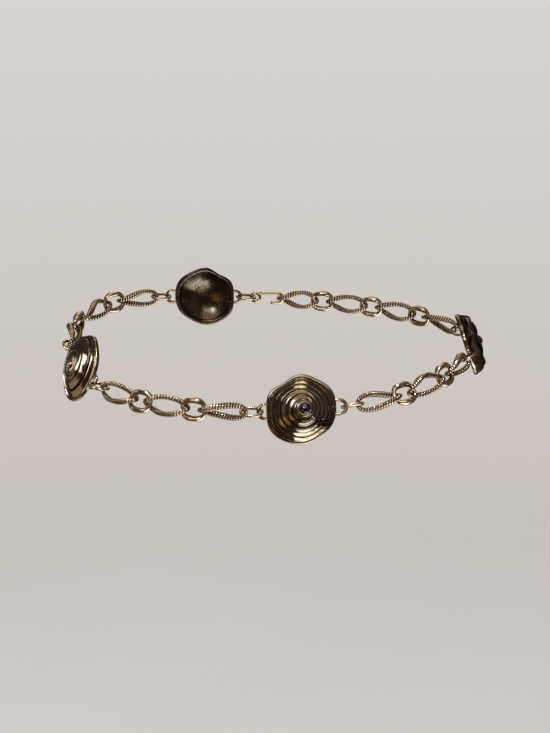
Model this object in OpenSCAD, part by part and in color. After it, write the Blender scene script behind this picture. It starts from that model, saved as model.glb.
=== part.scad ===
// Worn waist chain: four domed coil medallions joined by runs of twisted corded
// links, plain oval rings and jump rings, closed by one plain hook at the back.
// Millimetres, +Z up. The origin is the middle of the worn loop, level with the
// front medallion, and the front faces -Y.

/* [Medallion] */
// Mean radius of the medallion over its rim
medallion_r = 24.8; // [20:0.2:30]
// Height of the dome from the back edge to the top of the bead
dome_h = 13.5; // [9:0.5:18]
// Thickness of the cast wall behind the dome
wall_t = 1.9; // [1.4:0.1:2.6]
// Thickness of the rim, from its back edge to its outer face
rim_t = 3.2; // [2.4:0.1:4.5]
// Width of one turn of the raised coil
coil_w = 3.5; // [2.5:0.1:5]
// Depth of the groove between two turns
groove_d = 0.8; // [0.2:0.1:1.1]
// Angle that the coil's ridge starts from, anticlockwise from the +X lug
coil_start = -93; // [-180:1:180]
// Diameter of the bead at the middle of the coil
bead_d = 7; // [4:0.5:10]

/* [Medallion lug] */
// Thickness of the lug's wire
lug_wire = 2.4; // [1.6:0.1:3]
// Inner radius of the lug
lug_in_r = 3.8; // [3:0.1:5]
// Reach of the lug's opening past the mean rim
lug_reach = 5.4; // [4.6:0.1:7]

/* [Corded link] */
// Thickness of the corded wire
corded_wire = 3.7; // [2.4:0.1:4.2]
// Inner radius of the corded link's ends
corded_in_r = 4.3; // [3.8:0.1:6]
// Straight length between the corded link's ends
corded_straight = 20.7; // [14:0.1:30]

/* [Plain ring] */
// Thickness of the plain ring's wire
plain_wire = 3.2; // [2.2:0.1:3.8]
// Inner radius of the plain ring's ends
plain_in_r = 5.2; // [4.4:0.1:7]
// Straight length between the plain ring's ends
plain_straight = 3.1; // [1:0.1:10]

/* [Jump ring] */
// Thickness of the jump ring's wire
jump_wire = 2.3; // [1.6:0.1:3]
// Inner radius of the jump ring's ends
jump_in_r = 4.2; // [3.6:0.1:6]
// Straight length between the jump ring's ends
jump_straight = 4.2; // [1:0.1:10]

/* [Hook] */
// Thickness of the hook's wire
hook_wire = 2.6; // [2:0.1:3.2]
// Inner radius of the hook's bend
hook_bend_r = 2.7; // [2.4:0.1:4]
// Inner radius of the hook's closed eye
hook_eye_r = 2.2; // [1.8:0.1:3]
// Length of the hook inside its bend and eye
hook_in_l = 24; // [18:0.5:34]
// Length of the hook's free tip past the bend
hook_tip_l = 5; // [2:0.5:8]

/* [Worn loop] */
// Clearance between two links where they meet
link_gap = 0.4; // [0.35:0.05:0.6]
// Depth of the loop's front half, as a share of half its width
front_share = 0.8; // [0.6:0.02:1]
// Depth of the loop's back half, as a share of half its width
back_share = 0.45; // [0.36:0.01:1]
// Squareness of the loop in plan, where 2 is an ellipse
squareness = 2.2; // [2:0.1:3]
// Height of the chain at the back above the front
back_rise = 70; // [0:5:100]
// Turn round the loop, from straight ahead, where the front medallion begins
start_turn = -2; // [-20:0.5:20]
// Upward lean of the links at the front and back, in degrees
front_lean = 10; // [0:1:25]
// Upward lean of the links at the sides, in degrees
side_lean = 20; // [0:1:30]

/* [Hidden] */
// Sides of a corded wire, and steps round a corded link's end and along its side
WIRE_SIDES = 6;
END_STEPS = 7;
SIDE_STEPS = 3;
// Steps round a medallion, loops over one coil turn, and loops over its hollow back
ROUND_STEPS = 36;
TURN_LOOPS = 3;
BACK_LOOPS = 6;
// Fineness of the exact round parts
EXACT_FN = 48;
// Powers that shape the dome's flat middle, its round shoulder and the coil's groove
MIDDLE_POWER = 2.2;
SHOULDER_POWER = 0.7;
GROOVE_POWER = 4;
// Inset of the hollow back from the rim, in wall thicknesses
HOLLOW_INSET = 2;
// Rim from its inner edge to its outer face. Each row holds the inset from the rim, in
// wall thicknesses, and the height, as a share of the rim's thickness.
RIM_PROFILE = [[1.6, 0], [0.4, 0], [0, 0.5], [0.2, 0.8]];

// Medallion outline: share of the mean radius at every 30 degrees, anticlockwise
// from the lug on the +X side as seen from outside.
OUTLINE = [1.01, 1.04, 0.98, 1.01, 0.91, 1.03, 1.00, 1.07, 1.03, 0.99, 0.94, 0.99];
// Worn height of the chain: share of back_rise at every 30 degrees of turn.
HEIGHTS = [0.00, 0.11, 0.37, 0.56, 0.74, 0.90, 1.00, 1.03, 0.94, 0.64, 0.26, 0.05];

// The chain in order from the front medallion round by +X. Each row holds the kind
// of piece, then the roll at its start and at its end: the angle from straight up to
// straight outward that its upper strand is turned by, in degrees.
CHAIN = [
    ["medallion_front", 0, 0],
    ["jump_ring", 85, 85],
    ["corded_link", 0, -80],
    ["plain_ring", -15, -15],
    ["corded_link", 55, -60],
    ["plain_ring", 2, 2],
    ["corded_link", 65, -10],
    ["jump_ring", 85, 85],
    ["medallion_right", 0, 0],
    ["jump_ring", 85, 85],
    ["corded_link", 0, -60],
    ["plain_ring", 0, 0],
    ["corded_link", 60, -60],
    ["plain_ring", 0, 0],
    ["corded_link", 60, -60],
    ["plain_ring", 0, 0],
    ["corded_link", 60, -80],
    ["hook_clasp", 0, 0],
    ["jump_ring", 85, 85],
    ["medallion_back", 0, 0],
    ["jump_ring", 85, 85],
    ["corded_link", 15, -65],
    ["plain_ring", 10, 10],
    ["corded_link", 80, -80],
    ["plain_ring", 5, 5],
    ["corded_link", 80, -10],
    ["jump_ring", 85, 85],
    ["medallion_left", 0, 0],
    ["jump_ring", -75, -75],
    ["corded_link", 25, -65],
    ["plain_ring", -5, -5],
    ["corded_link", 55, -55],
    ["plain_ring", 15, 15],
    ["corded_link", 85, 30],
    ["jump_ring", -58, -58],
];

// Chain length that each kind of piece takes up, from contact to contact.
function inner_length(kind) =
    kind == "corded_link" ? corded_straight + 2 * corded_in_r
    : kind == "plain_ring" ? plain_straight + 2 * plain_in_r
    : kind == "jump_ring" ? jump_straight + 2 * jump_in_r
    : kind == "hook_clasp" ? hook_in_l
    : 2 * (medallion_r + lug_reach);
PITCHES = [for (row = CHAIN) inner_length(row[0]) - link_gap];

// Piecewise curve through a closed list of values at equal steps of turn.
function smooth4(a, b, c, d, u) =
    b + u * (c - a + u * (2 * a - 5 * b + 4 * c - d + u * (3 * b - a - 3 * c + d))) / 2;
function round_table(table, turn) =
    let (n = len(table), s = (turn / 360 - floor(turn / 360)) * n, i = floor(s))
    smooth4(table[(i + n - 1) % n], table[i % n], table[(i + 1) % n], table[(i + 2) % n], s - i);

// The worn loop: half superellipses in plan, with the height table over them.
function power(v, p) = sign(v) * pow(abs(v), p);
function loop_point(turn, half_w) =
    let (p = 2 / squareness, depth = cos(turn) > 0 ? front_share : back_share)
    [
        half_w * power(sin(turn), p),
        -half_w * depth * power(cos(turn), p),
        back_rise * round_table(HEIGHTS, turn)
    ];

// Turn at which the loop is one pitch away from a point, found by halving.
function turn_at(from, pitch, half_w, low, high, halvings) =
    halvings == 0 ? (low + high) / 2
    : let (mid = (low + high) / 2, far = norm(loop_point(mid, half_w) - from) > pitch)
        turn_at(from, pitch, half_w, far ? low : mid, far ? mid : high, halvings - 1);

// Turns of all the joints of the chain, walked link by link from a first turn.
LONGEST_STEP = 60;
HALVINGS = 20;
function walk(turn, half_w, k = 0) =
    k == len(CHAIN) ? [turn]
    : let (from = loop_point(turn, half_w))
        concat(
            [turn],
            walk(
                turn_at(from, PITCHES[k], half_w, turn, turn + LONGEST_STEP, HALVINGS),
                half_w, k + 1
            )
        );
function sum(list, k = 0) = k == len(list) ? 0 : list[k] + sum(list, k + 1);

// Half width at which the walked chain closes, improved step by step.
FITS = 10;
function fitted_half_w(half_w, fits) =
    fits == 0 ? half_w
    : let (turns = walk(start_turn, half_w))
        fitted_half_w(half_w * (turns[len(CHAIN)] - start_turn) / 360, fits - 1);
LOOP_HALF_W = fitted_half_w(sum(PITCHES) / (2 * PI), FITS);
TURNS = walk(start_turn, LOOP_HALF_W);
JOINTS = [for (turn = TURNS) loop_point(turn, LOOP_HALF_W)];

// Axes of one piece: x along the chain, z outward and leaning up, y to the top.
function unit(v) = v / norm(v);
function lean_at(turn) = front_lean + (side_lean - front_lean) * pow(sin(turn), 2);
function piece_axes(k) =
    let (
        x = unit(JOINTS[k + 1] - JOINTS[k]),
        lean = lean_at((TURNS[k] + TURNS[k + 1]) / 2),
        out = cos(lean) * unit([x.y, -x.x, 0]) + [0, 0, sin(lean)],
        z = unit(out - (out * x) * x)
    )
    [x, cross(z, x), z];

module at_piece(k) {
    axes = piece_axes(k);
    middle = (JOINTS[k] + JOINTS[k + 1]) / 2;
    multmatrix([for (i = [0 : 2]) [axes[0][i], axes[1][i], axes[2][i], middle[i]]])
        children();
}

// Closed surface over a list of loops of points, capped or joined end to end.
function loop_faces(loops, n, joined) = [
    for (i = [0 : loops - (joined ? 1 : 2)], j = [0 : n - 1])
        let (k = (i + 1) % loops, l = (j + 1) % n, a = i * n + j, b = i * n + l)
        each [[a, k * n + j, k * n + l], [a, k * n + l, b]]
];
function cap_faces(loops, n) = [
    for (j = [0 : n - 1])
        let (l = (j + 1) % n)
        each [[loops * n, j, l], [loops * n + 1, (loops - 1) * n + l, (loops - 1) * n + j]]
];

module joined_loops(loops) {
    n = len(loops[0]);
    polyhedron([for (loop = loops) each loop], loop_faces(len(loops), n, true));
}

module capped_loops(loops, first, last) {
    n = len(loops[0]);
    polyhedron(
        concat([for (loop = loops) each loop], [first, last]),
        concat(loop_faces(len(loops), n, false), cap_faces(len(loops), n))
    );
}

// Middle line of a long round-ended link, as points with x along the link.
function link_line(in_r, straight, wire) =
    let (r = in_r + wire / 2)
    concat(
        [
            for (i = [0 : END_STEPS])
                let (a = 180 * i / END_STEPS - 90)
                [straight / 2 + r * cos(a), r * sin(a)]
        ],
        [for (i = [1 : SIDE_STEPS - 1]) [straight * (0.5 - i / SIDE_STEPS), r]],
        [
            for (i = [0 : END_STEPS])
                let (a = 180 * i / END_STEPS + 90)
                [-straight / 2 + r * cos(a), r * sin(a)]
        ],
        [for (i = [1 : SIDE_STEPS - 1]) [straight * (i / SIDE_STEPS - 0.5), -r]]
    );

// Corded link: the line is rolled evenly from its start roll to its end roll, and
// the wire is swept along it.
module corded_link(k) {
    half = corded_straight / 2 + corded_in_r;
    start = CHAIN[k][1];
    end = CHAIN[k][2];
    function roll(x) = start + (end - start) * (x + half) / (2 * half);
    function twisted(p) = [p.x, p.y * cos(roll(p.x)), p.y * sin(roll(p.x))];
    flat = link_line(corded_in_r, corded_straight, corded_wire);
    line = [for (p = flat) twisted(p)];
    n = len(line);
    color("goldenrod")
        at_piece(k)
            joined_loops([
                for (i = [0 : n - 1])
                    let (
                        along = unit(line[(i + 1) % n] - line[(i + n - 1) % n]),
                        face = [0, -sin(roll(line[i].x)), cos(roll(line[i].x))],
                        up = unit(face - (face * along) * along),
                        side = cross(up, along)
                    )
                    [
                        for (j = [0 : WIRE_SIDES - 1])
                            let (a = 360 * j / WIRE_SIDES)
                            line[i] + corded_wire / 2 * (cos(a) * side + sin(a) * up)
                    ]
            ]);
}

// Half a ring of round wire, bent round +X.
module half_ring(in_r, wire)
    rotate([0, 0, -90])
        rotate_extrude(angle = 180, $fn = EXACT_FN)
            translate([in_r + wire / 2, 0])
                circle(d = wire);

// Flat round-ended ring with its length along X, rolled about its length.
module oval_ring(in_r, straight, wire, roll)
    rotate([roll, 0, 0]) {
        translate([straight / 2, 0, 0])
            half_ring(in_r, wire);
        rotate([0, 0, 180])
            translate([straight / 2, 0, 0])
                half_ring(in_r, wire);
        for (side = [-1, 1])
            translate([-straight / 2, side * (in_r + wire / 2), 0])
                rotate([0, 90, 0])
                    cylinder(d = wire, h = straight, $fn = EXACT_FN);
    }

module plain_ring(k)
    color("gold")
        at_piece(k)
            oval_ring(plain_in_r, plain_straight, plain_wire, CHAIN[k][1]);

module jump_ring(k)
    color("khaki")
        at_piece(k)
            oval_ring(jump_in_r, jump_straight, jump_wire, CHAIN[k][1]);

// One-piece hook: a bend that holds the last corded link, a straight shank and a
// closed eye for the jump ring.
module hook_clasp(k) {
    bend_x = -hook_in_l / 2 + hook_bend_r;
    eye_x = hook_in_l / 2 - hook_eye_r;
    bend_y = hook_bend_r + hook_wire / 2;
    eye_y = hook_eye_r + hook_wire / 2;
    shank_angle = atan((eye_y - bend_y) / (eye_x - bend_x));
    color("gold")
        at_piece(k)
            rotate([CHAIN[k][1], 0, 0]) {
                translate([bend_x, 0, 0])
                    rotate([0, 0, 180])
                        half_ring(hook_bend_r, hook_wire);
                translate([bend_x, bend_y, 0])
                    rotate([0, 90, shank_angle])
                        cylinder(
                            d = hook_wire,
                            h = norm([eye_x - bend_x, eye_y - bend_y]),
                            $fn = EXACT_FN
                        );
                translate([bend_x, bend_y, 0])
                    sphere(d = hook_wire, $fn = EXACT_FN);
                translate([eye_x, 0, 0])
                    rotate_extrude($fn = EXACT_FN)
                        translate([eye_y, 0])
                            circle(d = hook_wire);
                translate([bend_x, -bend_y, 0])
                    rotate([0, 90, 0])
                        cylinder(d = hook_wire, h = hook_tip_l, $fn = EXACT_FN);
                translate([bend_x + hook_tip_l, -bend_y, 0])
                    sphere(d = hook_wire, $fn = EXACT_FN);
            }
}

// Medallion relief. A place on it is a share of the way from the middle to the rim
// and an angle. The dome rises over the rim, and the coil's turns are cut into it.
function dome_height(share) =
    let (fall = max(0, 1 - pow(share, MIDDLE_POWER)))
    rim_t + (dome_h - rim_t) * pow(fall, SHOULDER_POWER);
function coil_turn(share, angle) =
    share * medallion_r / coil_w - (angle - coil_start) / 360;
function groove(share, angle) =
    share * medallion_r < bead_d / 2 ? 0
    : groove_d * pow(sin(180 * coil_turn(share, angle)), GROOVE_POWER);
function outline_r(share, angle) =
    share * medallion_r * (1 + share * (round_table(OUTLINE, angle) - 1));
function relief_loop(share, height_of) = [
    for (j = [0 : ROUND_STEPS - 1])
        let (a = 360 * j / ROUND_STEPS, r = outline_r(share, a))
        [r * cos(a), r * sin(a), height_of(share, a) - rim_t / 2]
];

module medallion_shell() {
    loops = floor(TURN_LOOPS * medallion_r / coil_w);
    wall_share = wall_t / medallion_r;
    hollow_share = 1 - HOLLOW_INSET * wall_share;
    front = function(share, a) dome_height(share) - groove(share, a);
    back = function(share, a) dome_height(share) - wall_t;
    inner = [for (i = [1 : BACK_LOOPS]) relief_loop(hollow_share * i / BACK_LOOPS, back)];
    rim = [
        for (row = RIM_PROFILE)
            relief_loop(1 - row[0] * wall_share, function(share, a) row[1] * rim_t)
    ];
    outer = [for (i = [loops - 1 : -1 : 1]) relief_loop(i / loops, front)];
    capped_loops(
        concat(inner, rim, outer),
        [0, 0, dome_h - wall_t - rim_t / 2],
        [0, 0, dome_h - rim_t / 2]
    );
}

// Round-ended lug whose two legs sink into the rim.
module lug() {
    bend_x = medallion_r + lug_reach - lug_in_r;
    leg_l = bend_x - (medallion_r - wall_t);
    translate([bend_x, 0, 0])
        half_ring(lug_in_r, lug_wire);
    for (side = [-1, 1])
        translate([bend_x - leg_l, side * (lug_in_r + lug_wire / 2), 0])
            rotate([0, 90, 0])
                cylinder(d = lug_wire, h = leg_l, $fn = EXACT_FN);
}

module medallion(k)
    color("darkgoldenrod")
        at_piece(k) {
            medallion_shell();
            lug();
            rotate([0, 0, 180])
                lug();
        }

// Node names: the kind of piece, with a number in chain order where it repeats.
KINDS = [for (row = CHAIN) row[0]];
function count_of(kind, last) = len([for (i = [0 : last]) if (KINDS[i] == kind) i]);

module piece(k) {
    if (KINDS[k] == "corded_link")
        corded_link(k);
    else if (KINDS[k] == "plain_ring")
        plain_ring(k);
    else if (KINDS[k] == "jump_ring")
        jump_ring(k);
    else if (KINDS[k] == "hook_clasp")
        hook_clasp(k);
    else
        medallion(k);
}

for (k = [0 : len(CHAIN) - 1])
    piece(k);
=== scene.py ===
"""Waist chain: the looks of its medallions, corded links, rings and hook.

Each piece is worked out in millimetres on its own axes, with x along the chain and z
outward. It is then set on the worn loop, which is walked link by link with the sizes
of the solids. The scene is in metres, +Z up, with the front of the chain at -Y.
"""
from __future__ import annotations

import logging
from dataclasses import dataclass, field, replace
from enum import Enum
from math import copysign, cos, pi, prod, radians, sin

import bpy
import numpy as np
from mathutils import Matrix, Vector


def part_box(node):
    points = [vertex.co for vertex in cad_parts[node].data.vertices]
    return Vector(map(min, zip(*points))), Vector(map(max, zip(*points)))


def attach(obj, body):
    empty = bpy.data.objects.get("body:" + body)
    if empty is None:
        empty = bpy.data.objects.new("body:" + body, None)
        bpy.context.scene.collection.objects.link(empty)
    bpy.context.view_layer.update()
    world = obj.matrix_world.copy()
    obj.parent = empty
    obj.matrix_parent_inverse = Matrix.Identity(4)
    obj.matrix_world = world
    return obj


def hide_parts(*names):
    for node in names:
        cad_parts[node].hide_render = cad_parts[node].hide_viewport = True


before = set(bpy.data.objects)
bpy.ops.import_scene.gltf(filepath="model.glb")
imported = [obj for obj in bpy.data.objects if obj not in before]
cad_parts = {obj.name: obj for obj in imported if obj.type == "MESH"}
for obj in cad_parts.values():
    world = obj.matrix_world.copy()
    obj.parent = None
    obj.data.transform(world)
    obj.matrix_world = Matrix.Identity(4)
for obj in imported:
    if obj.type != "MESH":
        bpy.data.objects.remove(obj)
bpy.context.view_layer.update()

LOG = logging.getLogger("waist_chain")
Array = np.ndarray
Colour = Point = tuple[float, float, float]
Socket = bpy.types.NodeSocket
Outputs = bpy.types.bpy_prop_collection
MM = 0.001
SHADE = "shade"
# shade value of the bead, where a blue reflection is painted
PAINTED_BLUE = 3.0
FINE_STEPS = 4000
PHOTO_H = 733
Z_AXIS = np.array([0.0, 0.0, 1.0])


class Kind(Enum):
    """The kinds of piece. One that occurs once names its node, the others are numbered."""

    FRONT = "medallion_front"
    RIGHT = "medallion_right"
    BACK = "medallion_back"
    LEFT = "medallion_left"
    LINK = "corded_link"
    PLAIN = "plain_ring"
    JUMP = "jump_ring"
    HOOK = "hook_clasp"


class Slot(Enum):
    """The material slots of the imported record."""

    ANTIQUE = "antique_gold"
    CORDED = "corded_gold"
    POLISHED = "polished_gold"


def unit(vectors: Array) -> Array:
    """Vectors at length one, from one vector or one in each row."""
    return vectors / np.linalg.norm(vectors, axis=-1, keepdims=True)


def rise(value: Array, low: float, high: float) -> Array:
    """Straight line from 0 at low to 1 at high, held inside; high may be the smaller."""
    return np.clip((value - low) / (high - low), 0, 1)


def bell(value: Array, middle: float, width: float) -> Array:
    """Soft bump from 0 to 1: exp(-((value - middle) / width) ^ 2)."""
    return np.exp(-(((value - middle) / width) ** 2))


def signed_angle(degrees: Array) -> Array:
    """An angle in degrees, brought to between -180 and 180."""
    return np.mod(degrees + 180, 360) - 180


def round_table(table: tuple[float, ...], degrees: Array | float) -> Array:
    """Closed Catmull-Rom cubic through a table of values at equal steps of angle.

    Args:
        table: the values, the first one at 0 degrees.
        degrees: where the curve is read.

    Returns:
        The curve's value at each angle.
    """
    values = np.asarray(table)
    place = np.mod(np.asarray(degrees) / 360, 1) * len(values)
    i = np.floor(place).astype(int)
    u = place - i
    a, b, c, d = (values[(i + k) % len(values)] for k in (-1, 0, 1, 2))
    return b + u * (c - a + u * (2 * a - 5 * b + 4 * c - d + u * (3 * b - a - 3 * c + d))) / 2


def grid_faces(shape: tuple[int, ...]) -> Array:
    """Corner numbers of the faces of a grid that closes on itself both ways."""
    index = np.arange(prod(shape)).reshape(shape)
    steps = ((0, 0), (0, -1), (-1, -1), (-1, 0))
    return np.stack([np.roll(index, step, (0, 1)) for step in steps], -1)


@dataclass
class Surface:
    """A closed surface on arrays: points, faces, and the shade of each point.

    Shade is 0 on a polished ridge, 1 in the bottom of a groove, -1 on an edge that is
    rubbed bright, and 3 on the bead, where a blue reflection is painted. On the insides
    of links and on some turns of a medallion it also carries painted shade.
    """

    points: Array
    quads: Array
    triangles: Array
    shade: Array

    @classmethod
    def over(cls, rows: Array, shade: Array, poles: Array | None = None) -> Surface:
        """Surface over a grid that closes along its rows.

        The last row meets the first, as on a torus, or else two poles close the ends.

        Args:
            rows: points, as rows by columns by three.
            shade: shade, as rows by columns.
            poles: the points that close the first and the last row, if there are any.

        Returns:
            The closed surface, facing outwards.
        """
        faces, fans = grid_faces(shade.shape), np.zeros((0, 3), int)
        points, shades = rows.reshape(-1, 3), shade.ravel()
        if poles is not None:
            index, right = faces[..., 0], faces[..., 1]
            first, last = (np.full_like(index[0], shade.size + k) for k in (0, 1))
            fans = np.vstack([
                np.stack([right[0], index[0], first], -1),
                np.stack([index[-1], right[-1], last], -1),
            ])
            faces, points = faces[:-1], np.vstack([points, poles])
            shades = np.concatenate([shades, [shade[0].mean(), shade[-1].mean()]])
        return cls(points, faces.reshape(-1, 4), fans, shades).outward()

    def outward(self) -> Surface:
        """Turns the faces outwards, by the sign of the volume inside them.

        Returns:
            The same surface.
        """
        q, p = self.quads, self.points
        corners = np.vstack([q[:, [0, 1, 2]], q[:, [0, 2, 3]], self.triangles])
        a, b, c = (p[corners[:, k]] for k in range(3))
        if np.einsum("ij,ij->i", a, np.cross(b, c)).sum() < 0:
            self.quads, self.triangles = self.quads[:, ::-1], self.triangles[:, ::-1]
        return self

    def rolled(self, degrees: float) -> Surface:
        """The surface turned about X by an angle in degrees."""
        c, s = cos(radians(degrees)), sin(radians(degrees))
        turn = np.array([[1, 0, 0], [0, c, -s], [0, s, c]])
        return replace(self, points=self.points @ turn.T)

    @staticmethod
    def joined(parts: list[Surface]) -> Surface:
        """One surface of several, each part still closed by itself.

        Args:
            parts: the surfaces.

        Returns:
            All their points and faces together.
        """
        starts = np.cumsum([0] + [len(part.points) for part in parts[:-1]])
        return Surface(
            np.vstack([part.points for part in parts]),
            np.vstack([part.quads + start for part, start in zip(parts, starts)]),
            np.vstack([part.triangles + start for part, start in zip(parts, starts)]),
            np.concatenate([part.shade for part in parts]),
        )


def oval_line(half_l: float, half_w: float, squareness: float, count: int) -> Array:
    """Middle line of a flat link as a squared oval, at equal steps of length.

    x = half_l |cos t|^q and y = half_w |sin t|^q, with q = 2 / squareness and the signs
    kept, is read at many t and then again at equal lengths.

    Args:
        half_l: half the line's length, along X.
        half_w: half its width, along Y.
        squareness: 2 for an ellipse, more for squarer ends.
        count: number of points round the line.

    Returns:
        The points as count by three with z 0, anticlockwise from the +X end.
    """
    t = np.linspace(0, 2 * pi, FINE_STEPS + 1)
    c, s = np.cos(t), np.sin(t)
    q = 2 / squareness
    fine = np.stack([
        half_l * np.sign(c) * np.abs(c) ** q, half_w * np.sign(s) * np.abs(s) ** q,
    ], -1)
    run = np.concatenate([[0], np.cumsum(np.linalg.norm(np.diff(fine, axis=0), axis=1))])
    at = np.arange(count) / count * run[-1]
    return np.stack([*(np.interp(at, run, fine[:, k]) for k in (0, 1)), 0 * at], -1)


def inner_side(sides: int) -> Array:
    """How far each side of a wire faces the inside of its link, from 0 to 1."""
    return np.maximum(0, np.cos(2 * pi * np.arange(sides) / sides))


def eased(line: Array, end_w: float, value: float, end_value: float) -> Array:
    """A value along a link's line that changes smoothly to another at both ends.

    With u going from 0 at an end to 1 at end_w inside it, its share is u^2 (3 - 2 u).

    Args:
        line: the flat line, with X along the link.
        end_w: length of the change at each end.
        value: the value along the sides.
        end_value: the value at the ends.

    Returns:
        The value at each point, as a column.
    """
    u = rise(line[:, :1].max() - np.abs(line[:, :1]), 0, end_w)
    return end_value + (value - end_value) * u * u * (3 - 2 * u)


def swept(path: Array, face: Array, radius: Array, closed: bool,
          broad: Array | float = 1, square: Array | float = 2) -> Array:
    """Rows of points round a wire that follows a path.

    A point is the path's point plus radius (side C + broad up S), where up is the face
    made square to the path and side is square to both. C and S are the cosine and sine
    to the power 2 / square, with their signs kept.

    Args:
        path: the wire's middle line, count by three.
        face: direction square to the flat of the link, at each point or for all.
        radius: radius at each point and each side, count by sides.
        closed: whether the path ends where it starts.
        broad: the section's size along up, as a share of that along side.
        square: 2 for a round or oval section, more for a squarer one.

    Returns:
        The points as count by sides by three.
    """
    if closed:
        along = unit(np.roll(path, -1, axis=0) - np.roll(path, 1, axis=0))
    else:
        along = unit(np.gradient(path, axis=0))
    face = np.broadcast_to(face, path.shape)
    up = unit(face - np.einsum("ij,ij->i", face, along)[:, None] * along)
    side = np.cross(up, along)
    b = np.arange(radius.shape[1]) / radius.shape[1] * 2 * pi
    c, s = (np.sign(v) * np.abs(v) ** (2 / square) for v in (np.cos(b)[None], np.sin(b)[None]))
    ring = side[:, None] * c[..., None] + up[:, None] * (broad * s)[..., None]
    return path[:, None] + radius[..., None] * ring


def round_ended_wire(path: Array, wire: float, sides: int, cap_rows: int = 6) -> Surface:
    """A plain wire along an open flat path in XY, closed by a half ball at each end.

    Args:
        path: the wire's middle line, count by three.
        wire: thickness of the wire.
        sides: number of sides.
        cap_rows: rows in each half ball.

    Returns:
        The closed wire.
    """
    r = wire / 2
    a = np.linspace(0, pi / 2, cap_rows + 1)[1:-1]
    tips = [unit(path[0] - path[1]), unit(path[-1] - path[-2])]
    first = path[0] + r * np.sin(a)[::-1, None] * tips[0]
    last = path[-1] + r * np.sin(a)[:, None] * tips[1]
    line = np.vstack([first, path, last])
    radii = np.concatenate([r * np.cos(a)[::-1], np.full(len(path), r), r * np.cos(a)])
    rows = swept(line, Z_AXIS, np.repeat(radii[:, None], sides, axis=1), closed=False)
    poles = np.array([path[0] + r * tips[0], path[-1] + r * tips[1]])
    return Surface.over(rows, np.zeros(rows.shape[:2]), poles)


@dataclass(frozen=True)
class Row:
    """One row of the chain: a node, its kind, and its roll at start and end."""

    node: str
    kind: Kind
    start_roll: float
    end_roll: float


class ChainPiece:
    """What all the pieces share: a material slot and a length inside the ends."""

    slot: Slot

    def inner_length(self) -> float:
        """Length that the piece takes up in the chain, from contact to contact."""
        raise NotImplementedError

    def surface(self, row: Row) -> Surface:
        """The piece's closed surface on its own axes, in millimetres."""
        raise NotImplementedError


class OvalPiece(ChainPiece):
    """A piece with round inner ends and a straight part between them."""

    inner_r: float
    straight: float

    def inner_length(self) -> float:
        """Straight part and both inner radii."""
        return self.straight + 2 * self.inner_r


@dataclass
class CordedLink(OvalPiece):
    """Long round-ended link of ribbed wire, twisted from one end to the other."""

    wire: float = 3.7
    broad: float = 1.35
    section: float = 2.6
    end_w: float = 9
    end_wire: float = 0.88
    inner_r: float = 4.3
    straight: float = 20.7
    squareness: float = 2.6
    rib_pitch: float = 2.05
    rib_starts: int = 2
    rib_depth: float = 0.44
    rib_power: float = 0.95
    rows_per_rib: int = 10
    length_steps: int = 400
    # patina and painted shade on the side of the wire that faces inside the link
    inner_patina_and_painted_shade: float = 0.3
    sides: int = 22
    slot: Slot = Slot.CORDED

    def surface(self, row: Row) -> Surface:
        """Ribbed wire along the twisted line.

        The flat line's y becomes (y cos roll, y sin roll), with an even roll from start
        to end. The radius is wire / 2 less rib_depth (1 - |cos(half phase)| ^ rib_power),
        with one turn of phase for each rib along the wire and rib_starts round it. Both
        ends are thinner and rounder, which keeps them clear of the pieces they meet.

        Args:
            row: the chain row, with both rolls.

        Returns:
            The closed link.
        """
        half, r = self.inner_length() / 2, self.wire / 2
        size = (half + r, self.inner_r + r, self.squareness)
        line = oval_line(*size, self.length_steps)
        length = np.linalg.norm(np.roll(line, -1, axis=0) - line, axis=1).sum()
        ribs = round(length / self.rib_pitch)
        count = ribs * self.rows_per_rib
        flat = oval_line(*size, count)
        share = (flat[:, 0] + half) / (2 * half)
        roll = np.radians(row.start_roll + (row.end_roll - row.start_roll) * share)
        c, s = np.cos(roll), np.sin(roll)
        path = np.stack([flat[:, 0], flat[:, 1] * c, flat[:, 1] * s], -1)
        face = np.stack([np.zeros(count), -s, c], -1)
        along = np.arange(count)[:, None] / count * ribs
        across = np.arange(self.sides) / self.sides * self.rib_starts
        ridge = np.abs(np.cos(pi * (along + across))) ** self.rib_power
        radius = r - self.rib_depth * (1 - ridge)
        # rib grooves get patina; the inner side gets patina and painted shade
        shade = 1 - ridge + self.inner_patina_and_painted_shade * inner_side(self.sides)
        radius = radius * eased(flat, self.end_w, 1, self.end_wire)
        broad = eased(flat, self.end_w, self.broad, 1)
        rows = swept(path, face, radius, True, broad, eased(flat, self.end_w, self.section, 2))
        return Surface.over(rows, shade)


@dataclass
class OvalRing(OvalPiece):
    """Smooth oval ring, of round wire or of a broad band that swells at its sides."""

    wire: float
    inner_r: float
    straight: float
    broad: float
    swell: float
    squareness: float = 2.4
    end_w: float = 6
    end_wire: float = 0.88
    # patina and painted shade on the side of the wire that faces inside the ring
    inner_patina_and_painted_shade: float = 0.9
    steps: int = 128
    sides: int = 28
    slot: Slot = Slot.POLISHED

    def surface(self, row: Row) -> Surface:
        """Wire along the flat line, rolled about the chain.

        The radius is wire / 2 times 1 + swell (y / half width) ^ 2, less at the ends.

        Args:
            row: the chain row, with the roll.

        Returns:
            The closed ring.
        """
        r = self.wire / 2
        size = (self.inner_length() / 2 + r, self.inner_r + r, self.squareness)
        flat = oval_line(*size, self.steps)
        radius = r * (1 + self.swell * (flat[:, 1:2] / flat[:, 1].max()) ** 2)
        radius = radius * eased(flat, self.end_w, 1, self.end_wire)
        radius = np.repeat(radius, self.sides, axis=1)
        rows = swept(flat, Z_AXIS, radius, True, eased(flat, self.end_w, self.broad, 1))
        # the inner side gets patina and painted shade
        shade = self.inner_patina_and_painted_shade * inner_side(self.sides) + 0 * radius
        return Surface.over(rows, shade).rolled(row.start_roll)


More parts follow.
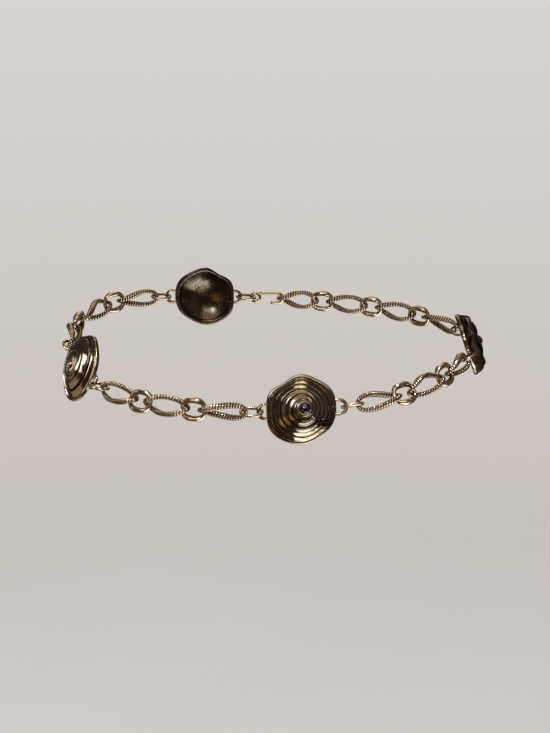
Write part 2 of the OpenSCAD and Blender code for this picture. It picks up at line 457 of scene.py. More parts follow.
@dataclass
class Hook(ChainPiece):
    """One-piece hook: a bend with a free tip, a straight shank and a closed eye."""

    wire: float = 2.6
    bend_r: float = 2.7
    eye_r: float = 2.2
    inner_l: float = 24
    tip_l: float = 5
    steps: int = 32
    tip_steps: int = 5
    shank_steps: int = 12
    sides: int = 24
    slot: Slot = Slot.POLISHED

    def inner_length(self) -> float:
        """Length inside the bend and the eye."""
        return self.inner_l

    def surface(self, row: Row) -> Surface:
        """Wire from the tip round the bend and up the shank, and a ring as the eye.

        The path is a straight tip, half a circle of radius bend_r + wire / 2, and a
        straight shank to the top of the eye.

        Args:
            row: the chain row, with the roll.

        Returns:
            The hook and its eye.
        """
        bend_x, eye_x = self.bend_r - self.inner_l / 2, self.inner_l / 2 - self.eye_r
        bend_y, eye_y = self.bend_r + self.wire / 2, self.eye_r + self.wire / 2
        a = np.linspace(-pi / 2, pi / 2, self.steps)
        bend = np.stack([bend_x - bend_y * np.cos(a), bend_y * np.sin(a), 0 * a], -1)
        tip = np.linspace([bend_x + self.tip_l, -bend_y, 0], bend[0], self.tip_steps)[:-1]
        shank = np.linspace(bend[-1], [eye_x, eye_y, 0], self.shank_steps)[1:]
        hook = round_ended_wire(np.vstack([tip, bend, shank]), self.wire, self.sides)
        path = oval_line(eye_y, eye_y, 2, 2 * self.steps) + [eye_x, 0, 0]
        radius = np.full((2 * self.steps, self.sides), self.wire / 2)
        eye = Surface.over(swept(path, Z_AXIS, radius, closed=True), 0 * radius)
        return Surface.joined([hook, eye]).rolled(row.start_roll)


UNEVEN_RIM = (1.01, 1.04, 0.98, 1.01, 0.91, 1.03, 1.00, 1.07, 1.03, 0.99, 0.94, 0.99)
ROUND_RIM = (1.01, 1.02, 0.98, 1.01, 0.94, 1.03, 1.00, 1.08, 1.12, 1.13, 1.10, 1.03)
# The rim's foot, from inside to outside: inset in wall thicknesses, height in rim ones.
RIM_FOOT = np.array([(1.6, 0.06), (1.3, 0), (0.4, 0), (0.12, 0.06), (0, 0.25)])


@dataclass(frozen=True)
class Spots:
    """Places on a medallion: a column of radii by a row of angles from the +X lug.

    The radii are kept as shares of the way to the rim and in millimetres, the angles
    in degrees and in radians.
    """

    share: Array
    r: Array
    degrees: Array
    a: Array


@dataclass
class Medallion(ChainPiece):
    """Domed casting with a raised coil, a middle bead, a hollow back and two lugs.

    The outline is the rim's radius at every 30 degrees. A higher power makes a side of
    the groove steeper and thinner, or the dome fuller towards its brim. Each lump is a
    soft swelling across the dome: its height above the middle, and its width. A bead
    cast has the fine collar, the step, a painted blue reflection on the bead, painted
    shade on its inner turns and lower half, and a mottled patch.
    """

    coil_w: float = 3.5
    coil_start: float = -93
    groove_d: float = 0.8
    outer_power: float = 4.5
    inner_power: float = 9
    dome_power: float = 2.2
    brim_at: float = 0.93
    bead_cast: bool = True
    lumps: tuple[tuple[float, float], ...] = ()
    outline: tuple[float, ...] = UNEVEN_RIM
    mean_r: float = 24.8
    dome_h: float = 13.5
    wall_t: float = 1.9
    rim_t: float = 3.2
    bead_d: float = 7
    bead_rise: float = 1.7
    # how far in from the bead's edge the painted blue reflection starts
    painted_blue_inset: float = 0.3
    collar_w: float = 2.6
    collar_rise: float = 0.35
    collar_rub: float = 0.4
    wobble: float = 0.04
    fade_w: float = 0.6
    begin_w: float = 7
    merge_at: float = -85
    merge_w: float = 35
    merge_r: float = 16.7
    merge_shift: float = 0.25
    lean: float = 0.09 / 3.5
    lump_h: float = 1.5
    step_at: float = -43
    step_h: float = 0.5
    crest_h: float = 0.55
    crest_w: float = 0.5
    # painted shade: on the inner turns, and low on the dome
    painted_inner_shade: float = 0.22
    painted_low_shade: float = 0.45
    mottle: float = 0.7
    mottle_at: float = -38
    mottle_w: float = 24
    groove_full: float = 0.7
    dull_lip: float = 0.35
    back_shade: float = 0.4
    off_centre: float = 1.1
    rim_shift: float = 0.8
    brim_drop: float = 0.15
    lip_w: float = 1.0
    lip_drop: float = 1.0
    lug_wire: float = 2.4
    lug_in_r: float = 3.8
    lug_reach: float = 5.4
    lug_steps: int = 36
    leg_steps: int = 8
    lug_sides: int = 22
    rows_front: int = 176
    rows_back: int = 26
    columns: int = 252
    slot: Slot = Slot.ANTIQUE

    def inner_length(self) -> float:
        """Length between the far insides of the two lugs."""
        return 2 * (self.mean_r + self.lug_reach)

    def spots(self, share: Array) -> Spots:
        """Places at the given shares of the way to the rim, at every angle."""
        degrees = np.arange(self.columns)[None] / self.columns * 360
        share = share[:, None]
        return Spots(share, share * self.mean_r, degrees, np.radians(degrees))

    def dome(self, share: Array) -> Array:
        """Height of the dome over the back edge, with a flat brim at the rim.

        It is the rim, plus (1 - t ^ power) times the height, with t the share of the way
        to the brim, less a small fall over the brim.

        Args:
            share: share of the way from the middle to the rim.

        Returns:
            The height.
        """
        t = np.minimum(share / self.brim_at, 1)
        height = (self.dome_h - self.bead_rise - self.rim_t) * (1 - t**self.dome_power)
        return self.rim_t + height - self.brim_drop * rise(share, self.brim_at, 1)

    def relief(self, at: Spots) -> tuple[Array, Array]:
        """Height of the coil over the dome, and the depth of its grooves.

        The coil is an Archimedean spiral: a ridge runs where the radius in coil widths,
        less the angle in turns, is whole. With u going from 0 to 1 between two grooves,
        or across the collar round the bead, the depth is |2 u - 1| ^ power. Ridges lean
        in or out by a sine of the radius. Two run together at merge_at, where one groove
        fades and the next is deeper. Slow waves make the grooves uneven. They end at the
        rim's lip, and begin softly where there is no collar.

        Args:
            at: the places.

        Returns:
            The height, which is 0 on a ridge, and the depth, both in millimetres.
        """
        a, r, width = at.a, at.r, self.coil_w
        merge = bell(signed_angle(at.degrees - self.merge_at), 0, self.merge_w)
        turn = r / width - (at.degrees - self.coil_start) / 360
        turn = turn + self.wobble * np.sin(3 * a) - self.merge_shift * merge
        past = r - self.bead_d / 2
        in_collar = past < (self.collar_w if self.bead_cast else 0)
        u = np.where(in_collar, past / self.collar_w, np.mod(turn + 0.5, 1))
        brim_r = self.brim_at * self.mean_r
        fade = rise(r, brim_r, brim_r - self.fade_w)
        waves = 0.85 + 0.2 * np.sin(2 * a + 0.9 * r) * np.sin(5 * a - 0.5 * r)
        waves = waves * (1 - 0.85 * merge * bell(r, self.merge_r, 1.5))
        waves = waves * (1 + 0.5 * merge * bell(r, self.merge_r - 3.2, 1.3))
        begin = 1 if self.bead_cast else rise(past, 0, self.begin_w)
        depth = self.groove_d * np.where(in_collar, 1, waves * fade * begin)
        power = np.where(u < 0.5, self.inner_power, self.outer_power)
        depth = np.where(past < 0, 0, depth * np.abs(2 * u - 1) ** power)
        middle = r - (u - 0.5) * width
        lean = self.lean * width * np.sin(0.6 * middle + 2 * np.sin(a) - 0.8) * (2 * u - 1)
        lean = np.where(in_collar, 0, lean * fade)
        lean = lean * rise(past, self.collar_w, self.collar_w + 1)
        for lump_y, lump_w in self.lumps:
            lean = lean + self.lump_h * fade * bell(r * np.sin(a), lump_y, lump_w)
        return lean - depth, depth

    def coil_end(self, at: Spots) -> tuple[Array, Array]:
        """The coil's inner end: a step that runs out in one turn, with a thin crest.

        Both fade in from 2.6 to 3.8 mm from the middle and out from 9.6 to 11.2 mm. The
        crest is a bell over the distance from the line that leaves the bead at step_at.

        Args:
            at: the places.

        Returns:
            The height over the dome, and the crest's share of its full height.
        """
        back = np.mod(self.step_at - at.degrees, 360) / 360
        zone = rise(at.r, 2.6, 3.8) * rise(at.r, 11.2, 9.6)
        step = self.step_h * zone * (1 - back) ** 2 * rise(back, 0, 1 / 40)
        off = np.radians(signed_angle(at.degrees - self.step_at))
        crest = zone * bell(at.r * np.sin(off), 0, self.crest_w) * (np.cos(off) > 0)
        return step + self.crest_h * crest, crest

    def front(self) -> tuple[Array, Array]:
        """The outer face: dome, coil and bead, from the rim in to the middle.

        Returns:
            The rows of points, and their shade.
        """
        at = self.spots(np.linspace(1, 0, self.rows_front + 1)[:-1])
        relief, groove = self.relief(at)
        end, crest = (part * self.bead_cast for part in self.coil_end(at))
        bead = np.sqrt(np.maximum(0, 1 - (2 * at.r / self.bead_d) ** 2))
        lip = rise(at.r, self.mean_r - self.lip_w, self.mean_r)
        height = self.dome(at.share) - self.lip_drop * (1 - np.sqrt(1 - lip**2))
        past = at.r - self.bead_d / 2
        collar = 4 * past * (self.collar_w - past) / self.collar_w**2
        collar = np.clip(collar, 0, 1) * self.bead_cast
        height = height + relief + self.bead_rise * bead + self.collar_rise * collar + end
        rub = rise(lip, 0.3, 0.8) * (1 if self.bead_cast else self.dull_lip)
        shade = rise(groove, 0, self.groove_full) - rub - crest - self.collar_rub * collar
        # adds painted shade on the inner turns and the lower half, and the mottled patch
        shade = np.maximum(shade + self.mottle_and_painted_shade(at), -1)
        # the bead gets a painted blue reflection
        shade = np.where((past < -self.painted_blue_inset) & self.bead_cast, PAINTED_BLUE, shade)
        return self.spread(at, height), shade

    def mottle_and_painted_shade(self, at: Spots) -> Array:
        """Darker inner turns, darker again below, and a mottled patch low on the right.

        The inner turns and the lower half get painted shade. The mottling is the product
        of two sine waves that cross, faded out away from mottle_at and inwards. Only a
        bead cast gets any of it.

        Args:
            at: the places.

        Returns:
            What is added to the shade.
        """
        r, a = at.r, at.a
        # painted shade on the lower half
        low = self.painted_low_shade * bell(r, 13.5, 1.5) * np.clip(-np.sin(a), 0, 1)
        near = bell(signed_angle(at.degrees - self.mottle_at), 0, self.mottle_w) * rise(r, 12, 15)
        cross = 0.5 + np.sin(24 * a + 1.9 * r) * np.sin(3.3 * r - 10 * a)
        mottled = self.mottle * near * np.clip(cross, 0, 1)
        # painted shade on the inner turns and below, plus the mottled patch
        return (self.painted_inner_shade * bell(r, 9.5, 2) + low + mottled) * self.bead_cast

    def back(self) -> tuple[Array, Array]:
        """The hollow back and the rim's foot, from the middle out to the rim.

        Returns:
            The rows of points, and their shade.
        """
        wall = self.wall_t / self.mean_r
        share = np.linspace(0, 1 - 2 * wall, self.rows_back)[1:]
        height = self.dome(share) + self.bead_rise * (1 - share**2) - self.wall_t
        height = np.maximum(height, 0.35 * self.rim_t)
        share = np.concatenate([share, 1 - wall * RIM_FOOT[:, 0]])
        height = np.concatenate([height, self.rim_t * RIM_FOOT[:, 1]])
        at = self.spots(share)
        rows = self.spread(at, height[:, None] + 0 * at.degrees)
        return rows, np.full(rows.shape[:2], self.back_shade)

    def spread(self, at: Spots, height: Array) -> Array:
        """Points at given shares, angles and heights over the uneven outline.

        The radius is share times the mean radius, times 1 + share ^ 3 (outline - 1).
        The rings lie off centre along X, by off_centre cos(1.5 pi share) less rim_shift
        share ^ 2.

        Args:
            at: the places.
            height: height over the back edge.

        Returns:
            The points, as rows by columns by three.
        """
        share = at.share
        r = at.r * (1 + share**3 * (round_table(self.outline, at.degrees) - 1))
        off = self.off_centre * np.cos(1.5 * pi * share) - self.rim_shift * share**2
        return np.stack([r * np.cos(at.a) + off, r * np.sin(at.a), height - self.rim_t / 2], -1)

    def lug(self) -> Surface:
        """Half loop of wire on the +X side, with both legs sunk in the rim.

        Returns:
            The closed wire.
        """
        bend_x = self.mean_r + self.lug_reach - self.lug_in_r
        r = self.lug_in_r + self.lug_wire / 2
        foot_x = self.mean_r - self.wall_t
        a = np.linspace(-pi / 2, pi / 2, self.lug_steps)
        bend = np.stack([bend_x + r * np.cos(a), r * np.sin(a), 0 * a], -1)
        first = np.linspace([foot_x, -r, 0], bend[0], self.leg_steps)[:-1]
        last = first[::-1] * [1, -1, 1]
        return round_ended_wire(np.vstack([first, bend, last]), self.lug_wire, self.lug_sides)

    def surface(self, row: Row) -> Surface:
        """The casting with its two lugs.

        Args:
            row: the chain row.

        Returns:
            The shell and both lugs.
        """
        back, back_shade = self.back()
        front, front_shade = self.front()
        top = self.dome_h - self.rim_t / 2
        poles = np.array([[self.off_centre, 0, top - self.wall_t], [self.off_centre, 0, top]])
        shade = np.vstack([back_shade, front_shade])
        shell = Surface.over(np.vstack([back, front]), shade, poles)
        lug = self.lug()
        other = replace(lug, points=lug.points * [-1, -1, 1])
        return Surface.joined([shell, lug, other])


@dataclass
class WornLoop:
    """The line that the chain follows round the waist.

    In plan it is two half superellipses, deeper in front than behind, and a table of
    heights lifts it towards the back. The chain is walked round it joint by joint.
    """

    link_gap: float = 0.4
    front_share: float = 0.8
    back_share: float = 0.45
    squareness: float = 2.2
    back_rise: float = 70
    start_turn: float = -2
    front_lean: float = 10
    side_lean: float = 20
    heights: tuple[float, ...] = (
        0.00, 0.11, 0.37, 0.56, 0.74, 0.90, 1.00, 1.03, 0.94, 0.64, 0.26, 0.05,
    )
    max_turn: float = 60
    halvings: int = 30
    rounds: int = 12
    half_w: float = 0
    pitches: list[float] = field(default_factory=list)
    turns: list[float] = field(default_factory=list)
    joints: list[Array] = field(default_factory=list)

    def point(self, turn: float) -> Array:
        """Point of the loop: x = w sin^p, y = -w depth cos^p, z from the heights.

        Args:
            turn: turn round the loop from straight ahead, in degrees.

        Returns:
            The point, in millimetres.
        """
        p = 2 / self.squareness
        s, c = sin(radians(turn)), cos(radians(turn))
        depth = self.front_share if c > 0 else self.back_share
        return np.array([
            self.half_w * copysign(abs(s) ** p, s),
            -self.half_w * depth * copysign(abs(c) ** p, c),
            self.back_rise * float(round_table(self.heights, turn)),
        ])

    def walk(self) -> list[float]:
        """Turns of all the joints, each one pitch from the last, found by halving.

        Returns:
            One turn more than there are pieces.
        """
        turns = [self.start_turn]
        for pitch in self.pitches:
            start = self.point(turns[-1])
            low, high = turns[-1], turns[-1] + self.max_turn
            for _ in range(self.halvings):
                mid = (low + high) / 2
                if np.linalg.norm(self.point(mid) - start) > pitch:
                    high = mid
                else:
                    low = mid
            turns.append((low + high) / 2)
        return turns

    def lay(self, lengths: list[float]) -> None:
        """Finds the width at which the chain closes, and keeps its joints.

        Args:
            lengths: the pieces' inner lengths, in chain order.
        """
        self.pitches = [length - self.link_gap for length in lengths]
        self.half_w = sum(self.pitches) / (2 * pi)
        for _ in range(self.rounds):
            self.half_w *= (self.walk()[-1] - self.start_turn) / 360
        self.turns = self.walk()
        self.joints = [self.point(turn) for turn in self.turns]
        LOG.info("loop: half width %.1f mm, length %.1f mm", self.half_w, sum(self.pitches))

    def seated(self, points: Array, k: int) -> Array:
        """Sets piece k on the loop: x along it, z outward and leaning up.

        Args:
            points: the piece's own points, in millimetres.
            k: its place in the chain.

        Returns:
            The points in the scene, in metres.
        """
        x = unit(self.joints[k + 1] - self.joints[k])
        middle_turn = radians((self.turns[k] + self.turns[k + 1]) / 2)
        lean = self.front_lean + (self.side_lean - self.front_lean) * sin(middle_turn) ** 2
        outward = unit(np.array([x[1], -x[0], 0]))
        out = cos(radians(lean)) * outward + sin(radians(lean)) * Z_AXIS
        z = unit(out - (out @ x) * x)
        middle = (self.joints[k] + self.joints[k + 1]) / 2
        return (points @ np.array([x, np.cross(z, x), z]) + middle) * MM


class NodeBench:
    """A node tree being wired, with short calls for the nodes that finishes use."""

    def __init__(self, owner: bpy.types.Material | bpy.types.World) -> None:
        """Gives the owner an empty node tree."""
        owner.use_nodes = True
        self.tree = owner.node_tree
        self.tree.nodes.clear()

    def add(self, kind: str, inputs: dict | None = None, **settings: object) -> Outputs:
        """Adds a node, sets its properties, and links or sets its inputs.

        Args:
            kind: the node's type, without the ShaderNode in front.
            inputs: socket name or number to a value or an output socket.
            settings: the node's properties.

        Returns:
            Its outputs, by name or number.
        """
        node = self.tree.nodes.new("ShaderNode" + kind)
        for name, value in settings.items():
            setattr(node, name, value)
        for name, value in (inputs or {}).items():
            if isinstance(value, Socket):
                self.tree.links.new(value, node.inputs[name])
            else:
                node.inputs[name].default_value = value
        return node.outputs

    def noise(self, vector: Socket, scale: float, detail: float) -> Socket:
        """Noise from about 0 to 1, at a scale in waves per metre."""
        inputs = {"Vector": vector, "Scale": scale, "Detail": detail}
        return self.add("TexNoise", inputs)["Fac"]

    def ramp(self, value: Socket, low: float, high: float,
             to_low: float = 0.0, to_high: float = 1.0) -> Socket:
        """A value stretched from one range to another, and held inside it."""
        inputs = {"Value": value, "From Min": low, "From Max": high,
                  "To Min": to_low, "To Max": to_high}
        return self.add("MapRange", inputs)["Result"]

    def mix(self, share: Socket, a: Socket | Colour, b: Socket | Colour) -> Socket:
        """Colour that goes from a to b with the share."""
        a, b = (part if isinstance(part, Socket) else (*part, 1) for part in (a, b))
        return self.add("Mix", {"Factor": share, 6: a, 7: b}, data_type="RGBA")[2]

    def math(self, operation: str, a: Socket | float, b: Socket | float) -> Socket:
        """Sum, product or other operation on two values."""
        return self.add("Math", {0: a, 1: b}, operation=operation)[0]


@dataclass(frozen=True)
class GoldFinish:
    """Gold plate with patina in the grooves, tone patches and fine wear.

    Groove and rough are ranges: of the shade over which the patina comes in, and of the
    roughness. The noises are finer than the patches by the times given, and edge is how
    far fine noise shifts the patina. Where the shade holds painted shade, the patina
    colour is painted shade as well. Rubbed and the painted blue reflection show only
    where the shade says.
    """

    slot: Slot
    bright: Colour
    deep: Colour
    patina: Colour
    tint: Colour
    groove: tuple[float, float]
    rough: tuple[float, float]
    rubbed: Colour = (0.66, 0.60, 0.50)
    # painted blue reflection on the bead
    painted_blue_reflection: Colour = (0.13, 0.155, 0.25)
    patch_scale: float = 60
    patch_share: float = 0.5
    tint_times: float = 1.7
    fine_times: float = 9
    dent_times: float = 5
    dent: float = 0.02
    edge: float = 0.12
    groove_dull: float = 0.18
    rubbed_dull: float = 0.16
    metal: float = 0.96

    def build(self) -> bpy.types.Material:
        """Wires the finish.

        Wide noise mixes both golds and the tint, the shade brings in the patina, which
        is painted shade where the shade holds painted shade, and finer noise varies
        roughness and a shallow bump. The shade also places the rubbed colour and the
        painted blue reflection.

        Returns:
            The material.
        """
        material = bpy.data.materials.new(self.slot.value)
        bench = NodeBench(material)
        place = bench.add("TexCoord")["Object"]
        shade = bench.add("Attribute", attribute_name=SHADE)["Fac"]
        patches = bench.noise(place, self.patch_scale, 3)
        tints = bench.noise(place, self.patch_scale * self.tint_times, 2)
        fine = bench.noise(place, self.patch_scale * self.fine_times, 4)
        tone = bench.mix(bench.ramp(patches, 0.35, 0.65), self.bright, self.deep)
        tone = bench.mix(bench.ramp(tints, 0.55, 0.75, 0, self.patch_share), tone, self.tint)
        worn = bench.math("ADD", shade, bench.ramp(fine, 0.3, 0.7, -self.edge, self.edge))
        # blue marks the bead, where a blue reflection is painted; rubbed marks worn edges
        blue, rubbed = bench.ramp(shade, 1.5, 2.5), bench.ramp(shade, 0, -0.8)
        groove = bench.math("SUBTRACT", bench.ramp(worn, *self.groove), blue)
        colour = bench.mix(groove, tone, self.patina)
        colour = bench.mix(blue, bench.mix(rubbed, colour, self.rubbed), self.painted_blue_reflection)
        dull = bench.math("ADD", bench.math("MULTIPLY", groove, self.groove_dull),
                          bench.math("MULTIPLY", rubbed, self.rubbed_dull))
        rough = bench.math("ADD", bench.ramp(fine, 0.3, 0.7, *self.rough), dull)
        bump = bench.add("Bump", {
            "Height": bench.noise(place, self.patch_scale * self.dent_times, 3),
            "Strength": 1.0, "Distance": self.dent * MM,
        })
        shader = bench.add("BsdfPrincipled", {
            "Base Color": colour, "Metallic": self.metal, "Roughness": rough,
            "Normal": bump["Normal"],
        })
        bench.add("OutputMaterial", {"Surface": shader["BSDF"]})
        return material


FINISHES = (
    GoldFinish(
        Slot.ANTIQUE, bright=(0.56, 0.50, 0.41), deep=(0.36, 0.30, 0.23),
        patina=(0.022, 0.014, 0.009), tint=(0.34, 0.20, 0.11), groove=(0.08, 0.6),
        rough=(0.06, 0.13), patch_scale=70, patch_share=0.7, metal=1,
    ),
    GoldFinish(
        Slot.CORDED, bright=(0.93, 0.79, 0.62), deep=(0.76, 0.60, 0.44),
        patina=(0.05, 0.03, 0.02), tint=(0.62, 0.41, 0.24), groove=(0.16, 0.7),
        rough=(0.07, 0.14),
    ),
    GoldFinish(
        Slot.POLISHED, bright=(0.94, 0.81, 0.64), deep=(0.76, 0.61, 0.45),
        patina=(0.10, 0.055, 0.03), tint=(0.62, 0.41, 0.25), groove=(0.25, 0.9),
        rough=(0.05, 0.12), dent=0.04,
    ),
)


@dataclass
class WaistChain:
    """The whole chain: its kinds of piece, their order, and the loop they lie on.

    The order gives each piece's roll in degrees, or its rolls at the start and the end.
    """

    loop: WornLoop = field(default_factory=WornLoop)
    pieces: dict[Kind, ChainPiece] = field(default_factory=lambda: {
        Kind.FRONT: Medallion(),
        Kind.RIGHT: Medallion(
            coil_w=8.4, coil_start=-30, groove_d=2.2, outer_power=2.4, inner_power=2.4,
            dome_power=6, brim_at=0.985, bead_cast=False,
            lumps=((20, 2.6), (10.4, 2.8), (-2.4, 4), (-19, 3.2)),
        ),
        Kind.BACK: Medallion(),
        Kind.LEFT: Medallion(
            coil_w=6, coil_start=84, groove_d=1.4, outer_power=5, dome_power=2.5,
            brim_at=0.94, bead_cast=False, outline=ROUND_RIM,
        ),
        Kind.LINK: CordedLink(),
        Kind.PLAIN: OvalRing(wire=3.4, inner_r=5.05, straight=3.4, broad=1.4, swell=0.25),
        Kind.JUMP: OvalRing(wire=2.5, inner_r=4.2, straight=4.2, broad=1, swell=0),
        Kind.HOOK: Hook(),
    })
    order: tuple[tuple[Kind | float, ...], ...] = (
        (Kind.FRONT, 0), (Kind.JUMP, 85), (Kind.LINK, 0, -80), (Kind.PLAIN, -15),
        (Kind.LINK, 55, -60), (Kind.PLAIN, 2), (Kind.LINK, 65, -10), (Kind.JUMP, 85),
        (Kind.RIGHT, 0), (Kind.JUMP, 85), (Kind.LINK, 0, -60), (Kind.PLAIN, 0),
        (Kind.LINK, 60, -60), (Kind.PLAIN, 0), (Kind.LINK, 60, -60), (Kind.PLAIN, 0),
        (Kind.LINK, 60, -80), (Kind.HOOK, 0), (Kind.JUMP, 85),
        (Kind.BACK, 0), (Kind.JUMP, 85), (Kind.LINK, 15, -65), (Kind.PLAIN, 10),
        (Kind.LINK, 80, -80), (Kind.PLAIN, 5), (Kind.LINK, 80, -10), (Kind.JUMP, 85),
        (Kind.LEFT, 0), (Kind.JUMP, -75), (Kind.LINK, 25, -65), (Kind.PLAIN, -5),
        (Kind.LINK, 55, -55), (Kind.PLAIN, 15), (Kind.LINK, 85, 30), (Kind.JUMP, -58),
    )

    def rows(self) -> list[Row]:
        """Names every piece, with a number in chain order where its kind repeats.

        Returns:
            The chain's rows.
        """
        kinds = [kind for kind, *_ in self.order]
        rows = []
        for k, (kind, *rolls) in enumerate(self.order):
            number = f"_{kinds[:k + 1].count(kind)}" if kinds.count(kind) > 1 else ""
            rows.append(Row(kind.value + number, kind, rolls[0], rolls[-1]))
        return rows

    def build(self, materials: dict[Slot, bpy.types.Material]) -> None:
        """Makes every piece, sets it on the loop and has it stand for its solid.

        Args:
            materials: the finishes, by slot.
        """
        rows = self.rows()
        self.loop.lay([self.pieces[row.kind].inner_length() for row in rows])
        for k, row in enumerate(rows):
            piece = self.pieces[row.kind]
            surface = piece.surface(row)
            surface.points = self.loop.seated(surface.points, k)
            thing = mesh_object(f"{row.node}_piece", surface, materials[piece.slot])
            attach(thing, "root")
            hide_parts(row.node)
            box = [surface.points.min(0), surface.points.max(0)]
            off = np.abs(np.array(box) - np.array(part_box(row.node))).max()
            LOG.info("%s: %d points, box off by %.2f mm", row.node, len(surface.points), off / MM)


def add_object(name: str, data: bpy.types.ID) -> bpy.types.Object:
    """A new object that holds the data, linked to the scene."""
    thing = bpy.data.objects.new(name, data)
    bpy.context.scene.collection.objects.link(thing)
    return thing


def mesh_object(name: str, surface: Surface, material: bpy.types.Material) -> bpy.types.Object:
    """A smooth mesh object at the origin, from a surface in metres.

    Args:
        name: the object's name.
        surface: points, faces and shade.
        material: the finish.

    Returns:
        The object, linked to the scene.
    """
    mesh = bpy.data.meshes.new(name)
    corners = np.concatenate([surface.quads.ravel(), surface.triangles.ravel()])
    sizes = np.repeat([4, 3], [len(surface.quads), len(surface.triangles)])
    starts = np.concatenate([[0], np.cumsum(sizes)[:-1]])
    mesh.vertices.add(len(surface.points))
    mesh.vertices.foreach_set("co", surface.points.astype(np.float32).ravel())
    mesh.loops.add(len(corners))
    mesh.loops.foreach_set("vertex_index", corners.astype(np.int32))
    mesh.polygons.add(len(sizes))
    mesh.polygons.foreach_set("loop_start", starts.astype(np.int32))
    mesh.polygons.foreach_set("use_smooth", np.ones(len(sizes), bool))
    shade = mesh.attributes.new(SHADE, "FLOAT", "POINT")
    shade.data.foreach_set("value", surface.shade.astype(np.float32))
    mesh.update(calc_edges=True)
    mesh.validate()
    mesh.materials.append(material)
    return add_object(name, mesh)


@dataclass(frozen=True)
class Softbox:
    """A rectangular studio light, aimed at a point.

    A mirrored one is a card that shows only in the metal, and lights nothing diffuse.
    """

    name: str
    at: Point
    aim: Point
    width: float
    height: float
    power: float
    spread: float = 30
    mirrored: bool = True

    def build(self) -> None:
        """Adds the light, turns its face to its aim, and grids it to its spread."""
        light = bpy.data.lights.new(self.name, "AREA")
        light.shape = "RECTANGLE"
        light.size, light.size_y = self.width, self.height
        light.energy, light.color = self.power, (1, 0.98, 0.94)
        light.spread = radians(self.spread)
        thing = add_object(self.name, light)
        thing.location = self.at
        way = Vector(self.aim) - Vector(self.at)
        thing.rotation_euler = way.to_track_quat("-Z", "Y").to_euler()
        thing.visible_camera = False
        thing.visible_glossy, thing.visible_diffuse = self.mirrored, not self.mirrored


@dataclass(frozen=True)
class Glow:
    """A soft-edged patch of the surroundings that the metal reflects.

    Angles are in degrees: azimuth 0 is straight in front, grows to the right and wraps.
    """

    azimuth: float
    elevation: float
    half_w: float
    half_h: float
    soft: float
    colour: Colour

    def over(self, bench: NodeBench, below: Socket, way: tuple[Socket, Socket]) -> Socket:
        """The patch laid over a colour.

        Args:
            bench: the world's nodes.
            below: the colour so far.
            way: azimuth and elevation of the direction, in radians.

        Returns:
            The colour with the patch in it.
        """
        shares = []
        middles, halves = (self.azimuth, self.elevation), (self.half_w, self.half_h)
        for angle, middle, half in zip(way, middles, halves):
            off = bench.math("PINGPONG", bench.math("SUBTRACT", angle, radians(middle)), pi)
            shares.append(bench.ramp(off, radians(half + self.soft), radians(half)))
        return bench.mix(bench.math("MULTIPLY", *shares), below, self.colour)


LEFT_DOME = (-0.1435, -0.0535, 0.0246)
PALE = (2.3, 2.25, 2.05)


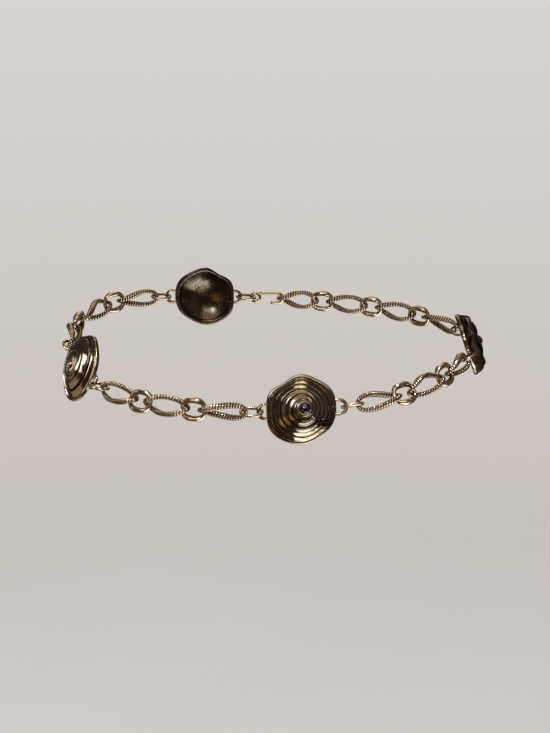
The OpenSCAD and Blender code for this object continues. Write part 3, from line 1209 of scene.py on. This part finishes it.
@dataclass
class Studio:
    """Pale floor, soft lights, pale surroundings and the camera."""

    floor_z: float = -0.42
    floor_r: float = 2.2
    fade_r: float = 0.7
    rings: int = 12
    columns: int = 64
    camera_at: Point = (0.003, -1.025, 0.1265)
    camera_down: float = 6.0
    focal_px: float = 1286.0
    sensor: float = 36.0
    boxes: tuple[Softbox, ...] = (
        Softbox("overhead", (-0.35, -0.5, 1.1), (0, -0.1, 0), 0.7, 0.45, 4, 180, False),
        Softbox("left_high", (-0.262, -0.101, 0.104), LEFT_DOME, 0.08, 0.07, 0.0031, 36),
        Softbox("left_low", (-0.283, -0.0936, 0.061), LEFT_DOME, 0.08, 0.07, 0.0031, 36),
        Softbox("left_far", (-0.2529, -0.0071, 0.0413), LEFT_DOME, 0.04, 0.05, 0.00025, 26),
        Softbox("side_card", (-0.27, 0.163, -0.03), (-0.143, -0.053, 0.01), 0.03, 0.05, 0.0006),
        Softbox("right_top", (0.135, -0.3, 0.45), (0.12, -0.1, 0.02), 0.12, 0.1, 0.026, 12),
        Softbox("right_run", (0.2, -0.29, 0.175), (0.1, -0.1, 0.015), 0.14, 0.12, 0.003),
        Softbox("left_run", (-0.19, -0.3, 0.17), (-0.09, -0.11, 0.01), 0.14, 0.12, 0.003),
        Softbox("left_top", (-0.08, -0.3, 0.45), (-0.085, -0.1, 0.02), 0.12, 0.1, 0.021, 12),
    )
    glows: tuple[Glow, ...] = (
        Glow(22, -56, 27, 13, 3, PALE),
        Glow(70, -54, 18, 17, 3, PALE),
        Glow(20, -34, 16, 3, 3, (0.9, 0.76, 0.6)),
        Glow(15, 72, 48, 4, 3, (1.9, 1.75, 1.2)),
        Glow(0, 53, 40, 5, 4, (0.75, 0.6, 0.38)),
        Glow(0, 39, 36, 3, 3, (0.6, 0.36, 0.16)),
        Glow(2, 26, 13, 5, 3, (1.3, 1.25, 1.1)),
        Glow(-13, 26, 4.5, 6, 1, (6.5, 6.5, 7.1)),
        Glow(-28, 10, 3, 3, 8, (0.12, 0.13, 0.11)),
        Glow(-25, -14, 8, 6, 6, (0.6, 0.3, 0.12)),
        Glow(50, 15, 14, 30, 14, (0.10, 0.07, 0.055)),
        Glow(-90, 5, 3, 30, 4, (0.3, 0.23, 0.12)),
        Glow(-97, -22, 20, 9, 6, (0.4, 0.27, 0.17)),
        Glow(112, -60, 24, 9, 5, (1.3, 1.25, 1.1)),
        Glow(180, -54, 38, 12, 6, (0.9, 0.85, 0.75)),
        Glow(180, 60, 32, 10, 6, (0.75, 0.62, 0.46)),
        Glow(188, 26, 7, 6, 3, (2.0, 2.0, 2.1)),
        Glow(205, -18, 12, 8, 6, (0.4, 0.26, 0.15)),
    )

    def build(self) -> None:
        """Builds floor, world, lights and camera."""
        self.build_floor()
        self.build_world()
        for box in self.boxes:
            box.build()
        self.build_camera()
        bpy.context.scene.view_settings.view_transform = "Standard"
        LOG.info("studio: %d lights", len(self.boxes))

    def build_floor(self) -> None:
        """A flat pale disc, as rings of points at growing radius."""
        r = self.floor_r * np.linspace(0, 1, self.rings + 1)[1:, None] ** 2
        a = np.arange(self.columns)[None] / self.columns * 2 * pi
        points = np.stack([r * np.cos(a), r * np.sin(a), self.floor_z + 0 * r * a], -1)
        faces = grid_faces((self.rings, self.columns))
        quads = faces[:-1, :, [0, 3, 2, 1]].reshape(-1, 4)
        fan = np.insert(faces[0, :, :2], 0, faces[..., 0].size, axis=1)
        points = np.vstack([points.reshape(-1, 3), [[0, 0, self.floor_z]]])
        material = bpy.data.materials.new("floor_paper")
        bench = NodeBench(material)
        place = bench.add("TexCoord")["Object"]
        tone = bench.mix(bench.noise(place, 3, 2), (0.76, 0.735, 0.71), (0.80, 0.775, 0.75))
        paper = bench.add("BsdfPrincipled", {"Base Color": tone, "Roughness": 0.9})
        reach = bench.add("VectorMath", {0: place}, operation="LENGTH")["Value"]
        fade = bench.ramp(reach, self.fade_r, self.floor_r)
        air = bench.add("BsdfTransparent")["BSDF"]
        shader = bench.add("MixShader", {0: fade, 1: paper["BSDF"], 2: air})
        bench.add("OutputMaterial", {"Surface": shader["Shader"]})
        surface = Surface(points, quads, fan, np.zeros(len(points)))
        floor = mesh_object("floor", surface, material)
        floor.visible_glossy = False

    def build_world(self) -> None:
        """Pale surroundings for the eye, and darker ones in the metal's reflections."""
        world = bpy.data.worlds.new("studio")
        bpy.context.scene.world = world
        bench = NodeBench(world)
        path = bench.add("LightPath")
        generated = bench.add("TexCoord")["Generated"]
        way = bench.add("SeparateXYZ", {"Vector": generated})
        height = way["Z"]
        seen = bench.mix(bench.ramp(height, -0.3, 0.3), (0.56, 0.51, 0.475), (0.72, 0.69, 0.665))
        room = bench.mix(bench.ramp(height, -0.1, 0.9), (0.05, 0.028, 0.016), (0.07, 0.045, 0.03))
        behind = bench.mix(bench.ramp(height, 0.8, 0.97), (0.05, 0.04, 0.03), (0.45, 0.42, 0.37))
        room = bench.mix(bench.ramp(way["Y"], 0, 0.25), room, behind)
        azimuth = bench.math("ARCTAN2", way["X"], bench.math("MULTIPLY", way["Y"], -1))
        elevation = bench.math("ARCSINE", height, 0)
        for glow in self.glows:
            room = glow.over(bench, room, (azimuth, elevation))
        soft = bench.mix(bench.ramp(height, -1, 1), (0.5, 0.48, 0.46), (0.75, 0.74, 0.73))
        other = bench.mix(path["Is Glossy Ray"], soft, room)
        colour = bench.mix(path["Is Camera Ray"], other, seen)
        shader = bench.add("Background", {"Color": colour, "Strength": 1.0})
        bench.add("OutputWorld", {"Surface": shader["Background"]})

    def build_camera(self) -> None:
        """The camera at the photograph's distance, height and angle."""
        camera = bpy.data.cameras.new("camera")
        camera.sensor_width = self.sensor
        camera.lens = self.focal_px / PHOTO_H * self.sensor
        camera.clip_start, camera.clip_end = 0.01, 50
        thing = add_object("camera", camera)
        thing.location = self.camera_at
        thing.rotation_euler = (radians(90 - self.camera_down), 0, 0)
        bpy.context.scene.camera = thing


def main() -> None:
    """Builds the studio, the finishes and the chain."""
    logging.basicConfig(level=logging.INFO, format="%(name)s: %(message)s")
    Studio().build()
    materials = {finish.slot: finish.build() for finish in FINISHES}
    WaistChain().build(materials)


if __name__ == "__main__":
    main()
